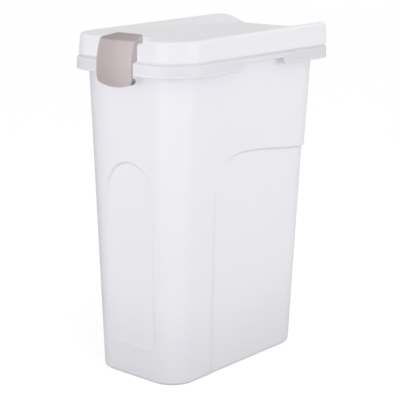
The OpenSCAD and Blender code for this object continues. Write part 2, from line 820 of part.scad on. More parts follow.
// The hollow behind the face and, narrower, the one under the tongue.
module clip_hollow() {
    inner = clip_w / 2 - cheek_t;
    tongue_inner = tongue_w / 2 - clip_t;
    tongue_end = tongue_y - clip_t - 1.5;
    intersection() {
        bowed_body(clip_t);
        union() {
            side_plate([
                [face_y - 5, tip_z - 5],
                [face_y - 5, tongue_z + 5],
                [lid_edge[1] + 1, tongue_z + 5],
                [lid_edge[1] + 1, tip_z - 5]
            ], -inner, inner * 2);
            side_plate([
                [lid_edge[1], tongue_under - 1],
                [lid_edge[1], tongue_z + 5],
                [tongue_end, tongue_z + 5],
                [tongue_end, tongue_under - 1]
            ], -tongue_inner, tongue_inner * 2);
        }
    }
}

// Round relief between the cheeks, so that the face turns clear of the gussets' ears.
module clip_ear_relief() {
    inner = clip_w / 2 - cheek_t;
    cross_pin(clip_axis, -inner, inner * 2, (clip_ear_r + clip_gap) * 2);
}

module clip() {
    color([0.75, 0.69, 0.69])
        placed()
            difference() {
                intersection() {
                    bowed_body(0);
                    clip_side(-clip_w / 2, clip_w);
                    clip_front();
                    clip_plan();
                }
                clip_hollow();
                clip_ear_relief();
                cross_pin(clip_axis, -clip_w / 2 - 1, clip_w + 2, clip_pin_d + turn_fit * 2);
            }
}

module clip_pin() {
    color([0.6, 0.55, 0.55])
        placed()
            cross_pin(clip_axis, -clip_w / 2 + clip_pin_inset, clip_w - clip_pin_inset * 2, clip_pin_d);
}

// A hinge pin, with its head on the outer side.
module hinge_pin(side) {
    half = knuckle_w / 2 + ear_gap + ear_t;
    color([0.8, 0.81, 0.83])
        placed()
            translate([side * hinge_x, 0, 0])
                union() {
                    cross_pin(lid_axis, side > 0 ? -half : -half - 0.2, half * 2 + 0.2, pin_d);
                    cross_pin(lid_axis, side > 0 ? half + 0.1 : -half - 0.1 - head_t, head_t, head_d);
                }
}

module hinge_pin_left() { hinge_pin(-1); }
module hinge_pin_right() { hinge_pin(1); }

tub();
lid();
lid_seal();
clip();
clip_pin();
hinge_pin_left();
hinge_pin_right();
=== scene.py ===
import math

import bmesh
import bpy
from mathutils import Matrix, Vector
from mathutils.bvhtree import BVHTree


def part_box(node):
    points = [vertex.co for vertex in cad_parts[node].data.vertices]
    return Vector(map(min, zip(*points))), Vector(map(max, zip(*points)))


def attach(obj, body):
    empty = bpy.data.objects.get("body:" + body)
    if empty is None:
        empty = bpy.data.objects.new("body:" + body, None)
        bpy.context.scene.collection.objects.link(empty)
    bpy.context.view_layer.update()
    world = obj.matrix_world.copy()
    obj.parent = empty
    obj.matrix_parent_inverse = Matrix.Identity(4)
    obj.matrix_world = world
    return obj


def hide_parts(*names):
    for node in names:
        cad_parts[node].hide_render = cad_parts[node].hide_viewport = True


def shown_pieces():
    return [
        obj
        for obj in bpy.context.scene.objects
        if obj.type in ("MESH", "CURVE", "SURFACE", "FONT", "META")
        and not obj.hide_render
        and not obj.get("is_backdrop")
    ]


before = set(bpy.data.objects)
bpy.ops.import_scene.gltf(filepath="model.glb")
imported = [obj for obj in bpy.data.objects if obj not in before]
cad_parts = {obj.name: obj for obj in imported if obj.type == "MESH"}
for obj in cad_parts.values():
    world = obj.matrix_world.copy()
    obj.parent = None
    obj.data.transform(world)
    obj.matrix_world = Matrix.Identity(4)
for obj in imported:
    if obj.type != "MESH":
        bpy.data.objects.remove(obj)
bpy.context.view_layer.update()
mm = 0.001

# Points read off the photograph, in its own pixels.
photoWidth = 400
photoHeight = 400
imagePoints = {
    "objectLeft": (76.3, 64.5),
    "objectRight": (326.2, 58.0),
    "objectTop": (221.5, 13.6),
    "objectBottom": (171.0, 385.7),
    "clipTopCorner": (101.5, 36.5),
    "clipTongueRear": (143.5, 41.0),
    "clipBottom": (122.5, 87.8),
    "collarRearCorner": (326.0, 61.0),
    "archTop": (126.0, 163.0),
    "archFoot": (148.0, 349.0),
    "shoulderFront": (213.5, 250.5),
    "handHoldFront": (243.0, 66.0),
    "handHoldRear": (284.0, 60.0),
    "baseFrontLeft": (106.5, 366.5),
    "baseRearRight": (287.9, 339.5),
}

cameraSettings = {
    "azimuth": 41.08,  # degrees round from the front, towards the right-hand side
    "elevation": 13.63,
    "distance": 2.3217,
    "lens": 114.54,
    "sensorWidth": 36.0,
    "aimHeight": 0.28809,
    "aimAside": -0.00178,
    "shiftX": 0.0,
    "shiftY": 0.0,
    "nearest": 0.05,
    "farthest": 60.0,
}


def mix(a, b, t):
    return a + (b - a) * t


def clamp(t):
    return min(max(t, 0.0), 1.0)


def ease(t):
    t = clamp(t)
    return t * t * (3 - 2 * t)


def steps(start, end, count):
    return [mix(start, end, i / count) for i in range(count + 1)]


leastRadius = 1.2  # of a corner whose outline shrinks


# An outline is half width, front y, rear y, front radius, rear radius.
def grow(outline, amount):
    half, front, rear, frontRadius, rearRadius = outline
    return (
        half + amount,
        front - amount,
        rear + amount,
        max(frontRadius + amount, leastRadius),
        max(rearRadius + amount, leastRadius),
    )


# A place on a corner about x, y, with its outward normal.
def aroundCorner(x, y, radius, angle):
    c, s = math.cos(math.radians(angle)), math.sin(math.radians(angle))
    return (x + radius * c, y + radius * s, c, s)


# The tub, in millimetres, measured from the middle of its bottom.
tub = {
    "baseHalf": 98.3,
    "baseLength": 364.0,
    "frontRadius": 47.0,
    "rearRadius": 62.0,
    "sideDraft": 1.77,  # degrees
    "frontDraft": 1.0,
    "rearDraft": 3.3,
    "flangeHeight": 561.5,
    "rimHeight": 10.5,
    "rimRound": 0.8,
    "wall": 2.0,
    "floor": 2.8,
    "foot": 2.5,
    "footWidth": 12.0,
    "baseRound": 5.0,
    "archHalf": 52.0,
    "archHeight": 335.0,
    "archFoot": 61.0,
    "archFootRadius": 14.0,
    "shoulderY": 86.0,
    "shoulderHeight": 394.0,
    "shoulderLength": 73.0,
    "shoulderRise": 55.0,
    "shoulderFall": 16.0,
    "recessDepth": 4.3,
    "recessBaseDepth": 1.2,
    "stepWidth": 6.0,
    "stepFall": 0.88,  # share of the step's width in which the wall falls
    "collarSide": 17.6,
    "collarFront": 25.1,
    "collarRear": 17.7,
    "collarFrontRadius": 66.0,
    "collarRearRadius": 56.0,
    "collarWall": 2.0,
    "skirtHeight": 20.3,
    "skirtFillet": 1.5,
    "flangeFillet": 0.5,
    "bead": 1.3,
    "beadRound": 0.5,
    "collarRound": 3.0,
    "bandHeight": 5.5,
    "bandFillet": 0.6,
    "bandRound": 0.9,
    "bandBack": 4.6,
    "bandFrontBack": 16.0,
    "bandFrontRadius": 53.4,
    "bandRearRadius": 48.4,
    "handHoldLength": 109.0,
    "handHoldHeight": 12.3,
    "handHoldSlope": 4.0,
    "frontPull": 3.4,  # the collar's front stands this much less far out than in the solids
}


def tubOutline(z):
    return (
        tub["baseHalf"] + z * math.tan(math.radians(tub["sideDraft"])),
        -tub["baseLength"] / 2 - z * math.tan(math.radians(tub["frontDraft"])),
        tub["baseLength"] / 2 + z * math.tan(math.radians(tub["rearDraft"])),
        tub["frontRadius"],
        tub["rearRadius"],
    )


flangeZ = tub["flangeHeight"]
rimZ = flangeZ + tub["rimHeight"]
skirtZ = flangeZ - tub["skirtHeight"]
mouth = tubOutline(flangeZ)
collar = (
    mouth[0] + tub["collarSide"],
    mouth[1] - tub["collarFront"],
    mouth[2] + tub["collarRear"],
    tub["collarFrontRadius"],
    tub["collarRearRadius"],
)
band = (  # raised part of the flange, inside the lid's edge
    collar[0] - tub["bandBack"],
    collar[1] + tub["bandFrontBack"],
    collar[2] - tub["bandBack"],
    tub["bandFrontRadius"],
    tub["bandRearRadius"],
)
skirt = (collar[0], collar[1] + tub["frontPull"], *collar[2:])

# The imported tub's box says where that middle lies in the shared frame.
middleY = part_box("tub")[0].y / mm - (collar[1] - tub["bead"])


def toFrame(point):
    return Vector((point[0] * mm, (point[1] + middleY) * mm, point[2] * mm))


def makeCamera():
    turn = math.radians(cameraSettings["azimuth"])
    rise = math.radians(cameraSettings["elevation"])
    back = Vector((math.sin(turn) * math.cos(rise), -math.cos(turn) * math.cos(rise), math.sin(rise)))
    aside = Vector((math.cos(turn), math.sin(turn), 0))
    aim = Vector((0, middleY * mm, cameraSettings["aimHeight"])) + aside * cameraSettings["aimAside"]
    data = bpy.data.cameras.new("photoCamera")
    data.lens = cameraSettings["lens"]
    data.sensor_width = cameraSettings["sensorWidth"]
    data.sensor_fit = "AUTO"
    data.shift_x = cameraSettings["shiftX"]
    data.shift_y = cameraSettings["shiftY"]
    data.clip_start = cameraSettings["nearest"]
    data.clip_end = cameraSettings["farthest"]
    camera = bpy.data.objects.new("photoCamera", data)
    camera.location = aim + back * cameraSettings["distance"]
    camera.rotation_euler = back.to_track_quat("Z", "Y").to_euler()
    bpy.context.scene.collection.objects.link(camera)
    bpy.context.scene.camera = camera
    bpy.context.view_layer.update()
    return camera


camera = makeCamera()
print("camera set")


# Places along the walls: point, then outward normal.
def frontPlace(outline, s):
    half, front, rear, radius, _ = outline
    flat = half - radius
    if s <= flat:
        return (s, front, 0, -1)
    return aroundCorner(flat, front + radius, radius, -90 + math.degrees((s - flat) / radius))


def rearPlace(outline, s):
    half, front, rear, _, radius = outline
    flat = half - radius
    if s <= flat:
        return (s, rear, 0, 1)
    return aroundCorner(flat, rear - radius, radius, 90 - math.degrees((s - flat) / radius))


def sidePlace(outline, s):
    half, front, rear, frontR, rearR = outline
    flatStart, flatEnd = front + frontR, rear - rearR
    if s < flatStart:
        return aroundCorner(half - frontR, flatStart, frontR, -math.degrees((flatStart - s) / frontR))
    if s > flatEnd:
        return aroundCorner(half - rearR, flatEnd, rearR, math.degrees((s - flatEnd) / rearR))
    return (half, s, 1, 0)


# A column is a wall, a place on it, and how far it leads from there to the corner's middle.
def columnAlong(outline, column):
    wall, start, lead = column
    half, front, rear, frontR, rearR = outline
    eighth = math.pi / 4
    if wall == "front":
        return mix(start, half - frontR + frontR * eighth, lead)
    if wall == "rear":
        return mix(start, half - rearR + rearR * eighth, lead)
    if lead < 0:
        return mix(start, front + frontR - frontR * eighth, -lead)
    return mix(start, rear - rearR + rearR * eighth, lead)


wallPlaces = {"front": frontPlace, "side": sidePlace, "rear": rearPlace}


def columnPlace(outline, column):
    return wallPlaces[column[0]](outline, columnAlong(outline, column))


# How the tub's mesh is divided, in columns round it and rows up it.
tubMesh = {
    "edgeRows": [-1, -0.86, -0.66, -0.44, -0.22, 0, 0.22, 0.44, 0.66, 0.86, 1],
    "rowSpread": 3.0,  # of an edge's rows where it stands upright
    "rowStretch": 3.0,
    "hair": 0.01,  # too little to count
    "archColumns": 12,
    "archTurn": 84,  # degrees of the arch that its columns cover
    "archShare": 0.985,
    "frontCorner": 12,
    "sideCorner": 14,
    "shoulderColumns": 12,
    "shoulderTurn": 14,  # degrees at which the shoulder's columns start
    "notchLeads": [0, 0.15, 0.5, 0.85, 1],
    "leastApart": 1.2,
    "plainColumns": [8, 28],
    "rearSide": 20,
    "rearColumns": 18,
    "lowRow": 30,
    "footRows": [0.4, 0.6, 0.8, 1],  # of the radius at the arch's foot
    "middleRow": 200,
    "belowArch": 15,
    "highRows": [450, 520],
    "baseRows": 5,
    "collarTurns": [0, 22, 45, 68, 90],  # degrees round the collar's upper edge
}

# The recesses: their edges, their depth, and the rows of the mesh that follow the edges.
halfStep = tub["stepWidth"] / 2
stepOuts = [row * halfStep for row in tubMesh["edgeRows"]]
peakY = -tub["shoulderY"] + tub["shoulderLength"]
springZ = tub["shoulderHeight"] - tub["shoulderRise"]


def sideTop(s):
    fallLength = tub["baseLength"] / 2 - peakY
    return tub["shoulderHeight"] - tub["shoulderFall"] * ease((s - peakY) / fallLength)


# Where an edge stands upright, its rows lie level below the place where it starts to bend.
def belowSpring(spring, out):
    return spring - tubMesh["rowSpread"] * (1 + out * tubMesh["rowStretch"] / tub["stepWidth"])


def edgeHeight(column, out):
    s = columnAlong(tubOutline(springZ), column)
    if column[0] == "front":
        reach = tub["archHalf"] + out
        if s < reach - tubMesh["hair"]:
            return tub["archHeight"] + math.sqrt(reach * reach - s * s)
        return belowSpring(tub["archHeight"], min(s - tub["archHalf"], halfStep) - out)
    if column[0] == "rear":
        return sideTop(tub["baseLength"]) + out
    if s > peakY:
        return sideTop(s) + out
    reach = tub["shoulderLength"] + out
    if peakY - s < reach - tubMesh["hair"]:
        return springZ + (tub["shoulderRise"] + out) * math.sqrt(1 - ((peakY - s) / reach) ** 2)
    return belowSpring(springZ, min(peakY - s - tub["shoulderLength"], halfStep) - out)


# How far a place lies outside its wall's recess.
def outsideRecess(wall, s, z):
    if wall == "rear":
        return z - sideTop(tub["baseLength"])
    if wall == "front":
        inner = tub["archHalf"] - tub["archFootRadius"]
        low = tub["archFoot"] + tub["archFootRadius"]
        if z > tub["archHeight"]:
            return math.hypot(s, z - tub["archHeight"]) - tub["archHalf"]
        if z < low and s > inner:
            return math.hypot(s - inner, low - z) - tub["archFootRadius"]
        return max(s - tub["archHalf"], tub["archFoot"] - z)
    if s > peakY:
        return z - sideTop(s)
    ahead = peakY - s
    if z > springZ:
        length, rise = tub["shoulderLength"], tub["shoulderRise"]
        return (math.hypot(ahead / length, (z - springZ) / rise) - 1) * (length + rise) / 2
    return ahead - tub["shoulderLength"]


def fullDepth(z):
    return mix(tub["recessBaseDepth"], tub["recessDepth"], clamp(z / tub["shoulderHeight"]))


def recessDepth(wall, s, z):
    return fullDepth(z) * ease(0.5 - outsideRecess(wall, s, z) / (tub["stepWidth"] * tub["stepFall"]))


def wallPoint(column, z, inset):
    outline = tubOutline(z)
    x, y, nx, ny = columnPlace(outline, column)
    depth = inset + recessDepth(column[0], columnAlong(outline, column), z)
    return (x - nx * depth, y - ny * depth, z)


def mirrored(ring):
    return ring + [(-x, y, z) for x, y, z in ring[-2:0:-1]]


# Edges that turn by more degrees than these stay sharp or get a bevel.
edgeTurns = {"sharp": 32, "plates": 28, "nodes": 24, "flats": 0.4}


def shadeSmooth(mesh):
    bm = bmesh.new()
    bm.from_mesh(mesh)
    bmesh.ops.recalc_face_normals(bm, faces=bm.faces)
    for face in bm.faces:
        face.smooth = True
    for edge in bm.edges:
        edge.smooth = edge.calc_face_angle(0) < math.radians(edgeTurns["sharp"])
    bm.to_mesh(mesh)
    bm.free()


def addPiece(name, points, faces, body):
    mesh = bpy.data.meshes.new(name)
    mesh.from_pydata([toFrame(p) for p in points], [], faces)
    mesh.update()
    shadeSmooth(mesh)
    piece = bpy.data.objects.new(name, mesh)
    bpy.context.scene.collection.objects.link(piece)
    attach(piece, body)
    return piece


def evenShading(piece):
    weighted = piece.modifiers.new("evenShading", "WEIGHTED_NORMAL")
    weighted.keep_sharp = True
    weighted.weight = 70  # large faces count for more


def softenEdges(piece, width, segments, turn):
    bevel = piece.modifiers.new("softEdges", "BEVEL")
    bevel.width = width * mm
    bevel.segments = segments
    bevel.limit_method = "ANGLE"
    bevel.angle_limit = math.radians(turn)
    evenShading(piece)


# Rings of equal length, closed with strips between mirrored columns and a fan at each end.
def addLoft(name, rings, body, frontFan, rearFan):
    count = len(rings[0])
    faces = []
    for i in range(len(rings) - 1):
        for j in range(count):
            a, b = i * count + j, i * count + (j + 1) % count
            faces.append((a, b, b + count, a + count))
    for first in (0, (len(rings) - 1) * count):
        faces.append([first + j % count for j in range(-frontFan, frontFan + 1)])
        faces.append([first + j for j in range(rearFan, count - rearFan + 1)])
        for j in range(frontFan, rearFan):
            faces.append((first + j, first + j + 1, first + count - j - 1, first + count - j))
    piece = addPiece(name, [p for ring in rings for p in ring], faces, body)
    evenShading(piece)
    return piece


handHoldFront = (mouth[1] + mouth[2]) / 2 - tub["handHoldLength"] / 2
handHoldRear = handHoldFront + tub["handHoldLength"]


def makeTubColumns():
    arch = tub["archHalf"]
    front = []
    for angle in steps(0, tubMesh["archTurn"], tubMesh["archColumns"]):
        front.append(("front", (arch - halfStep) * math.sin(math.radians(angle)) * tubMesh["archShare"], 0))
    front += [("front", arch + out, 0) for out in stepOuts]
    front += [("front", arch + halfStep, lead) for lead in steps(0, 1, tubMesh["frontCorner"])[1:]]

    edge = -tub["shoulderY"]
    side = [("side", edge - halfStep, -lead) for lead in steps(1, 0, tubMesh["sideCorner"])[1:-1]]
    side += [("side", edge + out, 0) for out in stepOuts]
    turns = steps(tubMesh["shoulderTurn"], 90, tubMesh["shoulderColumns"])
    curve = [peakY - tub["shoulderLength"] * math.cos(math.radians(a)) for a in turns]
    leads = [tub["handHoldSlope"] * lead for lead in tubMesh["notchLeads"]]
    notches = [handHoldFront - lead for lead in leads] + [handHoldRear + lead for lead in leads]
    curve = [s for s in curve if min(abs(s - notch) for notch in notches) > tubMesh["leastApart"]]
    flat = sorted(curve + notches + tubMesh["plainColumns"])
    side += [("side", s, 0) for s in flat]
    side += [("side", flat[-1], lead) for lead in steps(0, 1, tubMesh["rearSide"])[1:]]

    rear = [("rear", 0, lead) for lead in steps(1, 0, tubMesh["rearColumns"])[1:]]
    return front, side, rear


frontColumns, sideColumns, rearColumns = makeTubColumns()
tubColumns = frontColumns + sideColumns + rearColumns


def wallRing(z, inset):
    return mirrored([wallPoint(column, z, inset) for column in tubColumns])


def edgeRing(out, inset):
    return mirrored([wallPoint(column, edgeHeight(column, out), inset) for column in tubColumns])


def levelRing(outline, z):
    return mirrored([(*columnPlace(outline, column)[:2], z) for column in tubColumns])


# The hand-hold is a notch in the lower edge of the skirt.
def handHoldLift(column):
    if column[0] != "side" or column[2] != 0:
        return 0
    beyond = max(handHoldFront - column[1], column[1] - handHoldRear)
    return tub["handHoldHeight"] * ease(1 - beyond / tub["handHoldSlope"])


def skirtRing(outline, z):
    return mirrored([(*columnPlace(outline, c)[:2], z + handHoldLift(c)) for c in tubColumns])


def makeTubRings():
    base = tubOutline(0)
    low, floorTop = tub["baseRound"], tub["foot"] + tub["floor"]
    wall, thick, bead = tub["wall"], tub["collarWall"], tub["bead"]
    footRows = [tub["archFoot"] + out for out in stepOuts]
    footRows += [tub["archFoot"] + tub["archFootRadius"] * share for share in tubMesh["footRows"]]
    belowArch = tub["archHeight"] - tubMesh["belowArch"]
    plainRows = [tubMesh["lowRow"], *footRows, tubMesh["middleRow"], belowArch]
    quarter = [math.radians(a) for a in steps(0, 90, tubMesh["baseRows"])[1:]]

    # offsets under a millimetre round off the small edges of the moulding
    rings = [  # underside and foot ring
        levelRing(grow(base, -low - tub["footWidth"] - tub["foot"]), tub["foot"]),
        levelRing(grow(base, -low - tub["footWidth"] - 0.4), 0.3),
        levelRing(grow(base, -low - tub["footWidth"] + 0.3), 0),
        levelRing(grow(base, -low), 0),
    ]
    rings += [wallRing(low * (1 - math.cos(a)), low * (1 - math.sin(a))) for a in quarter]
    rings += [wallRing(z, 0) for z in plainRows]
    rings += [edgeRing(out, 0) for out in stepOuts]
    under, bandZ = flangeZ - thick, flangeZ + tub["bandHeight"]
    rings += [wallRing(z, 0) for z in (*tubMesh["highRows"], bandZ - thick - 1.5, bandZ - thick - 0.4)]

    inner = grow(skirt, -thick)
    rings += [  # underside of the band and flange
        levelRing(grow(mouth, 1.0), bandZ - thick),
        levelRing(grow(band, -thick - 0.8), bandZ - thick),
        levelRing(grow(band, -thick), bandZ - thick - 0.8),
        levelRing(grow(band, -thick), under + tub["flangeFillet"]),
        levelRing(grow(band, -thick + tub["flangeFillet"]), under),
        levelRing(grow(inner, -tub["skirtFillet"]), under),
    ]
    collarFirst = len(rings)
    rings += [  # skirt and its bead
        levelRing(inner, under - tub["skirtFillet"]),
        skirtRing(inner, skirtZ + 0.4),
        skirtRing(grow(inner, 0.4), skirtZ),
        skirtRing(grow(skirt, bead - tub["beadRound"]), skirtZ),
        skirtRing(grow(skirt, bead - 0.15), skirtZ + 0.15),
        skirtRing(grow(skirt, bead), skirtZ + tub["beadRound"]),
        skirtRing(grow(skirt, bead), skirtZ + bead),
        skirtRing(grow(skirt, bead * 0.6), skirtZ + bead * 1.5),
        skirtRing(skirt, skirtZ + bead * 2.2),
    ]
    for angle in tubMesh["collarTurns"]:
        a = math.radians(angle)
        back, drop = tub["collarRound"] * (1 - math.cos(a)), tub["collarRound"] * (1 - math.sin(a))
        rings.append(levelRing(grow(skirt, -0.3 - back), flangeZ - drop))
    rings += [  # up the band
        levelRing(grow(band, tub["bandFillet"]), flangeZ),
        levelRing(band, flangeZ + tub["bandFillet"]),
        levelRing(band, bandZ - tub["bandRound"]),
        levelRing(grow(band, -0.25), bandZ - 0.25),
        levelRing(grow(band, -tub["bandRound"]), bandZ),
    ]
    collarLast = len(rings) - 1

    # up the plain rim, over it and down the inside
    rimRound = tub["rimRound"]
    rings += [wallRing(bandZ, -1), wallRing(bandZ + 0.2, -0.3), wallRing(bandZ + 0.8, 0)]
    rings += [wallRing(rimZ - rimRound, 0), wallRing(rimZ - 0.2, 0.2), wallRing(rimZ, rimRound)]
    rings += [wallRing(rimZ, wall - rimRound), wallRing(rimZ - 0.2, wall - 0.2)]
    rings += [wallRing(z, wall) for z in (rimZ - rimRound, *reversed(tubMesh["highRows"]))]
    rings += [edgeRing(out, wall) for out in reversed(stepOuts)]
    rings += [wallRing(z, wall) for z in reversed(plainRows)]
    for a in reversed(quarter):
        rings.append(wallRing(floorTop + low * (1 - math.cos(a)), wall + low * (1 - math.sin(a))))
    rings.append(levelRing(grow(base, -wall - low), floorTop))
    return rings, (collarFirst, collarLast)


# How far the painted shade along the tub's steps reaches, and where it fades upwards.
stepShadeReach = {
    "sideFrom": 60,
    "sideReach": 8,
    "sideTop": springZ - 2,
    "sideFade": 25,
    "footFrom": -150,
    "footReach": 4,
    "footTop": tub["archFoot"] + tub["archFootRadius"] + 5,
    "footFade": 10,
}


# Painted shade along the steps, most along the side recess and the arch's foot.
def stepShadeShare(x, y, z):
    if abs(x) > stepShadeReach["sideFrom"] and y < 0:
        near = ease(1 - abs(outsideRecess("side", y, z)) / stepShadeReach["sideReach"])
        upwards = clamp((stepShadeReach["sideTop"] - z) / stepShadeReach["sideFade"])
        return near * fullDepth(z) / tub["recessDepth"] * upwards
    if y < stepShadeReach["footFrom"]:
        near = ease(1 - abs(outsideRecess("front", abs(x), z)) / stepShadeReach["footReach"])
        return near * clamp((stepShadeReach["footTop"] - z) / stepShadeReach["footFade"])
    return 0.0


# The collar hangs clear of the lit hollow and gets painted shade, so its rings are marked for the material,
# as are the places near the steps for their painted shade.
def markTub(piece, rings, collarRings):
    onCollar = piece.data.attributes.new("collar", "FLOAT", "POINT")
    nearStep = piece.data.attributes.new("step", "FLOAT", "POINT")
    ringLength = len(rings[0])
    for i in range(len(rings) * ringLength):
        ring, place = divmod(i, ringLength)
        onCollar.data[i].value = 1.0 if collarRings[0] <= ring <= collarRings[1] else 0.0
        nearStep.data[i].value = stepShadeShare(*rings[ring][place])


tubRings, collarRings = makeTubRings()
lastFront = len(frontColumns) - 1
tubShell = addLoft("tubShell", tubRings, "tub", lastFront, lastFront + len(sideColumns))
markTub(tubShell, tubRings, collarRings)
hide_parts("tub")


plateSegments = 3  # of a plate's softened edge


# Upright plates of one outline, side by side, with softened edges.
def addPlates(name, outline, starts, thick, body, soften):
    points, faces = [], []
    for start in starts:
        first = len(points)
        count = len(outline)
        points += [(start, y, z) for y, z in outline]
        points += [(start + thick, y, z) for y, z in outline]
        faces.append([first + i for i in range(count)])
        faces.append([first + count + i for i in reversed(range(count))])
        for i in range(count):
            j = (i + 1) % count
            faces.append((first + i, first + count + i, first + count + j, first + j))
    piece = addPiece(name, points, faces, body)
    softenEdges(piece, soften, plateSegments, edgeTurns["plates"])
    return piece


def arc(centre, radius, start, end, count):
    turned = [math.radians(a) for a in steps(start, end, count)]
    return [(centre[0] + radius * math.cos(a), centre[1] + radius * math.sin(a)) for a in turned]


hinge = {
    "apart": 60.0,
    "knuckleWidth": 24.0,
    "knuckleRadius": 6.0,
    "behind": 8.4,
    "above": 9.5,
    "earThickness": 4.0,
    "earRadius": 6.5,
    "earRoot": 0.5,
    "earStep": 2.0,
    "earFoot": 5.0,
    "earHeel": 7.0,
    "earSoftness": 0.6,
    "sideGap": 0.4,
    "stopAbove": 8.3,
    "stopLength": 3.0,
    "knuckleHeel": 4.0,
    "knuckleFoot": 1.0,
    "knuckleLean": 0.4,  # share of the lid's draft
    "knuckleSoftness": 0.5,
    "arcSteps": 24,
}
clip = {
    "width": 80.0,
    "pinDrop": 31.0,
    "pinBehind": 3.4,
    "cheek": 5.0,
    "earThickness": 4.0,
    "earRadius": 4.0,
    "sideGap": 0.4,
    "gussetRise": 44.0,  # degrees
    "gussetRoot": 0.5,
    "gussetDrop": 2.0,
    "gussetLow": 1.0,
    "gussetSoftness": 0.5,
    "arcSteps": 14,
    "clear": 0.5,
    "softness": 1.0,
    "softSegments": 4,
}
lidAxis = (collar[2] + hinge["behind"], flangeZ + hinge["above"])
clipAxis = (collar[1] + clip["pinBehind"], flangeZ - clip["pinDrop"])


def makeHingeEars():
    rear = lidAxis[0] + hinge["earRadius"]
    front = lidAxis[0] - hinge["earRadius"]
    top = lidAxis[1] + hinge["stopAbove"]
    inside = collar[2] - tub["collarWall"] + hinge["earRoot"]
    step = hinge["earStep"]
    outline = [
        (inside, skirtZ + hinge["earFoot"]),
        (inside, flangeZ - hinge["earRoot"]),
        (front, flangeZ + step),
        (front, lidAxis[1] + step),
        (lidAxis[0] - step, top - step),
        (rear - hinge["stopLength"], top),
        (rear, top),
        (rear, lidAxis[1] - hinge["earRadius"]),
        (collar[2] + hinge["earFoot"], skirtZ + hinge["earHeel"]),
    ]
    half = hinge["knuckleWidth"] / 2 + hinge["sideGap"]
    starts = []
    for side in (-1, 1):
        middle = side * hinge["apart"]
        starts += [middle - half - hinge["earThickness"], middle + half]
    return addPlates("hingeEars", outline, starts, hinge["earThickness"], "tub", hinge["earSoftness"])


def makeClipGussets():
    radius, rise = clip["earRadius"], math.radians(clip["gussetRise"])
    back = tubOutline(clipAxis[1])[1] + tub["wall"] / 2
    foot = (radius * math.sin(rise), -radius * math.cos(rise))
    under = flangeZ - tub["collarWall"]
    root = under + clip["gussetRoot"]
    bandY = band[1] + tub["collarWall"] / 2
    skirtY = skirt[1] + tub["collarWall"] / 2
    outline = arc(clipAxis, radius, 180, 270 + clip["gussetRise"], clip["arcSteps"])
    outline += [
        (back, clipAxis[1] + foot[1] + (back - clipAxis[0] - foot[0]) * math.tan(rise)),
        (back, root + tub["bandHeight"]),
        (bandY, root + tub["bandHeight"]),
        (bandY, root),
        (skirtY + tub["collarWall"], root),
        (skirtY, under - clip["gussetDrop"]),
        (skirtY, skirtZ + clip["gussetLow"]),
    ]
    inner = clip["width"] / 2 - clip["cheek"] - clip["sideGap"] - clip["earThickness"]
    starts = [-inner - clip["earThickness"], inner]
    return addPlates("clipGussets", outline, starts, clip["earThickness"], "tub", clip["gussetSoftness"])


hingeEars = makeHingeEars()
clipGussets = makeClipGussets()
print("tub made")


lid = {
    "gap": 3.9,
    "setBack": 1.0,
    "frontSetBack": 12.4,
    "frontRadius": 57.0,
    "rearRadius": 52.0,
    "height": 34.6,
    "wall": 2.0,
    "taper": 2.6,
    "edgeRound": 5.5,
    "railRise": 6.0,
    "saddleFall": 12.0,
    "bankWidth": 46.0,
    "scoopHalf": 48.0,
    "scoopDepth": 7.0,
    "scoopEdge": 8.0,
    "scoopLength": 30.5,
    "plugWall": 2.0,
    "plugDrop": 6.0,
    "sealSpace": 3.0,
    "landReach": 1.4,
    "landHeight": 2.0,
}

# How the lid's mesh is divided.
lidMesh = {
    "scoopColumns": 7,
    "scoopBank": 5,
    "besideScoop": 4,
    "cornerColumns": 30,
    "sideColumns": 48,
    "rearColumns": 12,
    "underCorner": 3,
    "edgeRows": 8,
}
lidEdge = (
    collar[0] - lid["setBack"],
    collar[1] + lid["frontSetBack"],
    collar[2] - lid["setBack"],
    lid["frontRadius"],
    lid["rearRadius"],
)
lidZ = flangeZ + lid["gap"]
lidTopZ = lidZ + lid["height"]
innermost = lidEdge[0] - 4  # a fan closes what is left in the middle

# How far in from the edge the lid's rings lie, closer together where the rails bend.
underInsets = steps(innermost, 56, 18) + steps(53, 33, 8)
topInsets = [11, 14, 18, 22] + steps(26, 42, 14) + steps(46, 58, 4) + steps(64, innermost, 12)


def scoop(x, y):
    across = ease((lid["scoopHalf"] - abs(x)) / lid["scoopEdge"] + 0.5)
    along = ease((lidEdge[1] + lid["scoopLength"] + lid["scoopEdge"] - y) / lid["scoopEdge"])
    return lid["scoopDepth"] * across * along


def lidSurface(x, y):
    t = clamp((y - lidEdge[1]) / (lidEdge[2] - lidEdge[1]))
    sunken = ease((lidEdge[0] - lid["taper"] - lid["edgeRound"] - abs(x)) / lid["bankWidth"])
    return lidTopZ + mix(lid["railRise"] * t, -lid["saddleFall"] * t * t, sunken) - scoop(x, y)


def makeLidColumns():
    flat = lidEdge[0] - lidEdge[3]
    half, bank = lid["scoopHalf"], lidMesh["scoopBank"]
    xs = steps(0, half - bank - 1, lidMesh["scoopColumns"])
    xs += [half + beyond for beyond in range(-bank, bank + 1)]
    xs += steps(half + lid["scoopEdge"], flat, lidMesh["besideScoop"])
    front = [("front", x / flat) for x in xs]
    frontCorner = [("frontCorner", a) for a in steps(-90, 0, lidMesh["cornerColumns"])[1:]]
    side = [("side", f) for f in steps(0, 1, lidMesh["sideColumns"])[1:]]
    rearCorner = [("rearCorner", a) for a in steps(0, 90, lidMesh["cornerColumns"])[1:]]
    rear = [("rear", f) for f in steps(1, 0, lidMesh["rearColumns"])[1:]]
    return front, frontCorner + side + rearCorner, rear


def lidPlace(outline, column):
    half, front, rear, frontR, rearR = outline
    where, f = column
    if where == "front":
        return (f * (half - frontR), front)
    if where == "frontCorner":
        return aroundCorner(half - frontR, front + frontR, frontR, f)[:2]
    if where == "side":
        return (half, mix(front + frontR, rear - rearR, f))
    if where == "rearCorner":
        return aroundCorner(half - rearR, rear - rearR, rearR, f)[:2]
    return (f * (half - rearR), rear)


